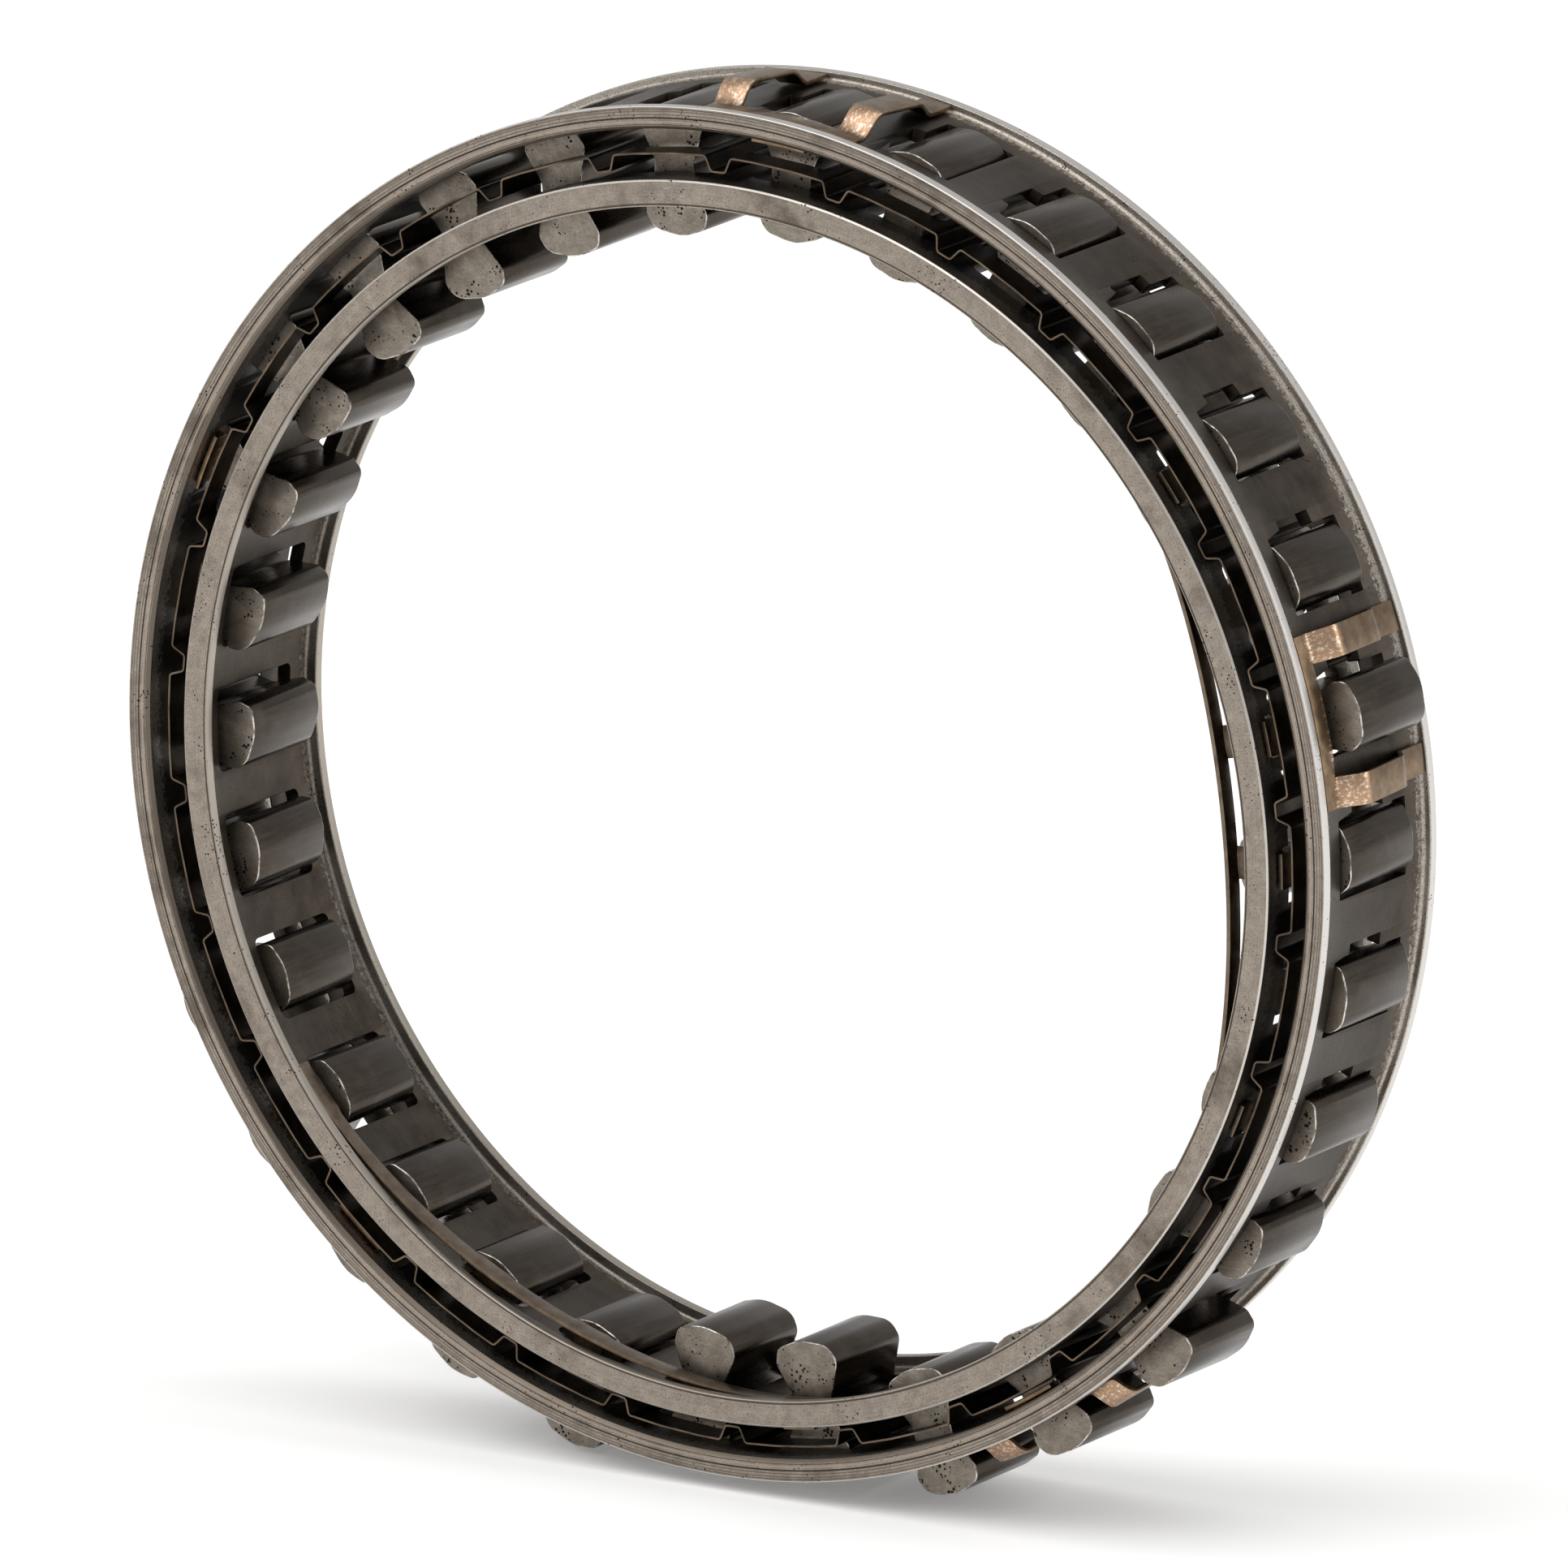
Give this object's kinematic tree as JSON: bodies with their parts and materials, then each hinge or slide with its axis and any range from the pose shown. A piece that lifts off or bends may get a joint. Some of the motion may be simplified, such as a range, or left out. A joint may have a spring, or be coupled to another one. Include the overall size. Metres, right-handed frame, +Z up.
{
  "type": "one-way sprag clutch element",
  "caption": "Ring-shaped one-way clutch insert: slotted inner and outer cages, a ribbon spring and a ring of tilting sprags that wedge between an inner and an outer race.",
  "frame": {"origin": "The centre of the outer cage: on its axis, midway between its two end faces.", "axes": "+Y runs along the axis, from the end with the drag clips' tabs to the far end; +Z is up as the element stands on edge; +X completes the right-handed frame."},
  "size_m": [0.1054, 0.016, 0.1054],
  "materials": {
    "outer_cage_steel": "satin, turned rim, dark phosphated web",
    "inner_cage_steel": "satin, turned rim, dark phosphated web",
    "ribbon_steel": "tempered brown spring steel",
    "sprag_steel": "hardened and polished, dark",
    "bronze": "phosphor bronze, worn bright on the humps"
  },
  "bodies": {
    "outer_cage_body": {"outer_cage": "outer_cage_steel", "outer_drag_clip_1": "bronze", "outer_drag_clip_2": "bronze", "outer_drag_clip_3": "bronze", "outer_drag_clip_4": "bronze", "outer_drag_clip_5": "bronze"},
    "inner_cage_body": {"inner_cage": "inner_cage_steel", "inner_drag_strip_1": "bronze", "inner_drag_strip_2": "bronze"},
    "ribbon_body": {"ribbon_spring": "ribbon_steel"},
    "sprag_01_body": {"sprag_01": "sprag_steel"},
    "sprag_02_body": {"sprag_02": "sprag_steel"},
    "sprag_03_body": {"sprag_03": "sprag_steel"},
    "sprag_04_body": {"sprag_04": "sprag_steel"},
    "sprag_05_body": {"sprag_05": "sprag_steel"},
    "sprag_06_body": {"sprag_06": "sprag_steel"},
    "sprag_07_body": {"sprag_07": "sprag_steel"},
    "sprag_08_body": {"sprag_08": "sprag_steel"},
    "sprag_09_body": {"sprag_09": "sprag_steel"},
    "sprag_10_body": {"sprag_10": "sprag_steel"},
    "sprag_11_body": {"sprag_11": "sprag_steel"},
    "sprag_12_body": {"sprag_12": "sprag_steel"},
    "sprag_13_body": {"sprag_13": "sprag_steel"},
    "sprag_14_body": {"sprag_14": "sprag_steel"},
    "sprag_15_body": {"sprag_15": "sprag_steel"},
    "sprag_16_body": {"sprag_16": "sprag_steel"},
    "sprag_17_body": {"sprag_17": "sprag_steel"},
    "sprag_18_body": {"sprag_18": "sprag_steel"},
    "sprag_19_body": {"sprag_19": "sprag_steel"},
    "sprag_20_body": {"sprag_20": "sprag_steel"},
    "sprag_21_body": {"sprag_21": "sprag_steel"},
    "sprag_22_body": {"sprag_22": "sprag_steel"},
    "sprag_23_body": {"sprag_23": "sprag_steel"},
    "sprag_24_body": {"sprag_24": "sprag_steel"},
    "sprag_25_body": {"sprag_25": "sprag_steel"},
    "sprag_26_body": {"sprag_26": "sprag_steel"},
    "sprag_27_body": {"sprag_27": "sprag_steel"},
    "sprag_28_body": {"sprag_28": "sprag_steel"},
    "sprag_29_body": {"sprag_29": "sprag_steel"},
    "sprag_30_body": {"sprag_30": "sprag_steel"}
  },
  "joints": [
    {"name": "inner_cage_phase", "type": "hinge", "parent": "outer_cage_body", "child": "inner_cage_body", "pos_m": [0, 0, -0.0007], "axis": [0, 1, 0], "range_deg": [0, 0.8], "stiffness_Nm_per_rad": 0.5, "springref_deg": -2.86},
    {"name": "ribbon_phase", "type": "hinge", "parent": "outer_cage_body", "child": "ribbon_body", "pos_m": [0.0001, 0, -0.0005], "axis": [0, 1, 0], "range_deg": [0, 0.4]},
    {"name": "sprag_01_tilt", "type": "hinge", "parent": "outer_cage_body", "child": "sprag_01_body", "pos_m": [0.04897, 0, 0.01149], "axis": [0, -1, 0], "range_deg": [0, 10]},
    {"name": "sprag_02_tilt", "type": "hinge", "parent": "outer_cage_body", "child": "sprag_02_body", "pos_m": [0.04551, 0, 0.02142], "axis": [0, -1, 0], "range_deg": [0, 10]},
    {"name": "sprag_03_tilt", "type": "hinge", "parent": "outer_cage_body", "child": "sprag_03_body", "pos_m": [0.04007, 0, 0.03041], "axis": [0, -1, 0], "range_deg": [0, 10]},
    {"name": "sprag_04_tilt", "type": "hinge", "parent": "outer_cage_body", "child": "sprag_04_body", "pos_m": [0.03287, 0, 0.03808], "axis": [0, -1, 0], "range_deg": [0, 10]},
    {"name": "sprag_05_tilt", "type": "hinge", "parent": "outer_cage_body", "child": "sprag_05_body", "pos_m": [0.02423, 0, 0.04408], "axis": [0, -1, 0], "range_deg": [0, 10]},
    {"name": "sprag_06_tilt", "type": "hinge", "parent": "outer_cage_body", "child": "sprag_06_body", "pos_m": [0.01454, 0, 0.04815], "axis": [0, -1, 0], "range_deg": [0, 10]},
    {"name": "sprag_07_tilt", "type": "hinge", "parent": "outer_cage_body", "child": "sprag_07_body", "pos_m": [0.00421, 0, 0.05012], "axis": [0, -1, 0], "range_deg": [0, 10]},
    {"name": "sprag_08_tilt", "type": "hinge", "parent": "outer_cage_body", "child": "sprag_08_body", "pos_m": [-0.0063, 0, 0.0499], "axis": [0, -1, 0], "range_deg": [0, 10]},
    {"name": "sprag_09_tilt", "type": "hinge", "parent": "outer_cage_body", "child": "sprag_09_body", "pos_m": [-0.01654, 0, 0.0475], "axis": [0, -1, 0], "range_deg": [0, 10]},
    {"name": "sprag_10_tilt", "type": "hinge", "parent": "outer_cage_body", "child": "sprag_10_body", "pos_m": [-0.02606, 0, 0.04302], "axis": [0, -1, 0], "range_deg": [0, 10]},
    {"name": "sprag_11_tilt", "type": "hinge", "parent": "outer_cage_body", "child": "sprag_11_body", "pos_m": [-0.03443, 0, 0.03667], "axis": [0, -1, 0], "range_deg": [0, 10]},
    {"name": "sprag_12_tilt", "type": "hinge", "parent": "outer_cage_body", "child": "sprag_12_body", "pos_m": [-0.0413, 0, 0.02871], "axis": [0, -1, 0], "range_deg": [0, 10]},
    {"name": "sprag_13_tilt", "type": "hinge", "parent": "outer_cage_body", "child": "sprag_13_body", "pos_m": [-0.04637, 0, 0.01949], "axis": [0, -1, 0], "range_deg": [0, 10]},
    {"name": "sprag_14_tilt", "type": "hinge", "parent": "outer_cage_body", "child": "sprag_14_body", "pos_m": [-0.04941, 0, 0.00943], "axis": [0, -1, 0], "range_deg": [0, 10]},
    {"name": "sprag_15_tilt", "type": "hinge", "parent": "outer_cage_body", "child": "sprag_15_body", "pos_m": [-0.05029, 0, -0.00105], "axis": [0, -1, 0], "range_deg": [0, 10]},
    {"name": "sprag_16_tilt", "type": "hinge", "parent": "outer_cage_body", "child": "sprag_16_body", "pos_m": [-0.04897, 0, -0.01149], "axis": [0, -1, 0], "range_deg": [0, 10]},
    {"name": "sprag_17_tilt", "type": "hinge", "parent": "outer_cage_body", "child": "sprag_17_body", "pos_m": [-0.04551, 0, -0.02142], "axis": [0, -1, 0], "range_deg": [0, 10]},
    {"name": "sprag_18_tilt", "type": "hinge", "parent": "outer_cage_body", "child": "sprag_18_body", "pos_m": [-0.04007, 0, -0.03041], "axis": [0, -1, 0], "range_deg": [0, 10]},
    {"name": "sprag_19_tilt", "type": "hinge", "parent": "outer_cage_body", "child": "sprag_19_body", "pos_m": [-0.03287, 0, -0.03808], "axis": [0, -1, 0], "range_deg": [0, 10]},
    {"name": "sprag_20_tilt", "type": "hinge", "parent": "outer_cage_body", "child": "sprag_20_body", "pos_m": [-0.02423, 0, -0.04408], "axis": [0, -1, 0], "range_deg": [0, 10]},
    {"name": "sprag_21_tilt", "type": "hinge", "parent": "outer_cage_body", "child": "sprag_21_body", "pos_m": [-0.01454, 0, -0.04815], "axis": [0, -1, 0], "range_deg": [0, 10]},
    {"name": "sprag_22_tilt", "type": "hinge", "parent": "outer_cage_body", "child": "sprag_22_body", "pos_m": [-0.00421, 0, -0.05012], "axis": [0, -1, 0], "range_deg": [0, 10]},
    {"name": "sprag_23_tilt", "type": "hinge", "parent": "outer_cage_body", "child": "sprag_23_body", "pos_m": [0.0063, 0, -0.0499], "axis": [0, -1, 0], "range_deg": [0, 10]},
    {"name": "sprag_24_tilt", "type": "hinge", "parent": "outer_cage_body", "child": "sprag_24_body", "pos_m": [0.01654, 0, -0.0475], "axis": [0, -1, 0], "range_deg": [0, 10]},
    {"name": "sprag_25_tilt", "type": "hinge", "parent": "outer_cage_body", "child": "sprag_25_body", "pos_m": [0.02606, 0, -0.04302], "axis": [0, -1, 0], "range_deg": [0, 10]},
    {"name": "sprag_26_tilt", "type": "hinge", "parent": "outer_cage_body", "child": "sprag_26_body", "pos_m": [0.03443, 0, -0.03667], "axis": [0, -1, 0], "range_deg": [0, 10]},
    {"name": "sprag_27_tilt", "type": "hinge", "parent": "outer_cage_body", "child": "sprag_27_body", "pos_m": [0.0413, 0, -0.02871], "axis": [0, -1, 0], "range_deg": [0, 10]},
    {"name": "sprag_28_tilt", "type": "hinge", "parent": "outer_cage_body", "child": "sprag_28_body", "pos_m": [0.04637, 0, -0.01949], "axis": [0, -1, 0], "range_deg": [0, 10]},
    {"name": "sprag_29_tilt", "type": "hinge", "parent": "outer_cage_body", "child": "sprag_29_body", "pos_m": [0.04941, 0, -0.00943], "axis": [0, -1, 0], "range_deg": [0, 10]},
    {"name": "sprag_30_tilt", "type": "hinge", "parent": "outer_cage_body", "child": "sprag_30_body", "pos_m": [0.05029, 0, 0.00105], "axis": [0, -1, 0], "range_deg": [0, 10]}
  ],
  "couplings": [
    {"joint": "ribbon_phase", "follows": "inner_cage_phase", "ratio": 0.42383},
    {"joint": "sprag_01_tilt", "follows": "inner_cage_phase", "ratio": 11.42},
    {"joint": "sprag_02_tilt", "follows": "inner_cage_phase", "ratio": 11.42},
    {"joint": "sprag_03_tilt", "follows": "inner_cage_phase", "ratio": 11.42},
    {"joint": "sprag_04_tilt", "follows": "inner_cage_phase", "ratio": 11.42},
    {"joint": "sprag_05_tilt", "follows": "inner_cage_phase", "ratio": 11.42},
    {"joint": "sprag_06_tilt", "follows": "inner_cage_phase", "ratio": 11.42},
    {"joint": "sprag_07_tilt", "follows": "inner_cage_phase", "ratio": 11.42},
    {"joint": "sprag_08_tilt", "follows": "inner_cage_phase", "ratio": 11.42},
    {"joint": "sprag_09_tilt", "follows": "inner_cage_phase", "ratio": 11.42},
    {"joint": "sprag_10_tilt", "follows": "inner_cage_phase", "ratio": 11.42},
    {"joint": "sprag_11_tilt", "follows": "inner_cage_phase", "ratio": 11.42},
    {"joint": "sprag_12_tilt", "follows": "inner_cage_phase", "ratio": 11.42},
    {"joint": "sprag_13_tilt", "follows": "inner_cage_phase", "ratio": 11.42},
    {"joint": "sprag_14_tilt", "follows": "inner_cage_phase", "ratio": 11.42},
    {"joint": "sprag_15_tilt", "follows": "inner_cage_phase", "ratio": 11.42},
    {"joint": "sprag_16_tilt", "follows": "inner_cage_phase", "ratio": 11.42},
    {"joint": "sprag_17_tilt", "follows": "inner_cage_phase", "ratio": 11.42},
    {"joint": "sprag_18_tilt", "follows": "inner_cage_phase", "ratio": 11.42},
    {"joint": "sprag_19_tilt", "follows": "inner_cage_phase", "ratio": 11.42},
    {"joint": "sprag_20_tilt", "follows": "inner_cage_phase", "ratio": 11.42},
    {"joint": "sprag_21_tilt", "follows": "inner_cage_phase", "ratio": 11.42},
    {"joint": "sprag_22_tilt", "follows": "inner_cage_phase", "ratio": 11.42},
    {"joint": "sprag_23_tilt", "follows": "inner_cage_phase", "ratio": 11.42},
    {"joint": "sprag_24_tilt", "follows": "inner_cage_phase", "ratio": 11.42},
    {"joint": "sprag_25_tilt", "follows": "inner_cage_phase", "ratio": 11.42},
    {"joint": "sprag_26_tilt", "follows": "inner_cage_phase", "ratio": 11.42},
    {"joint": "sprag_27_tilt", "follows": "inner_cage_phase", "ratio": 11.42},
    {"joint": "sprag_28_tilt", "follows": "inner_cage_phase", "ratio": 11.42},
    {"joint": "sprag_29_tilt", "follows": "inner_cage_phase", "ratio": 11.42},
    {"joint": "sprag_30_tilt", "follows": "inner_cage_phase", "ratio": 11.42}
  ]
}
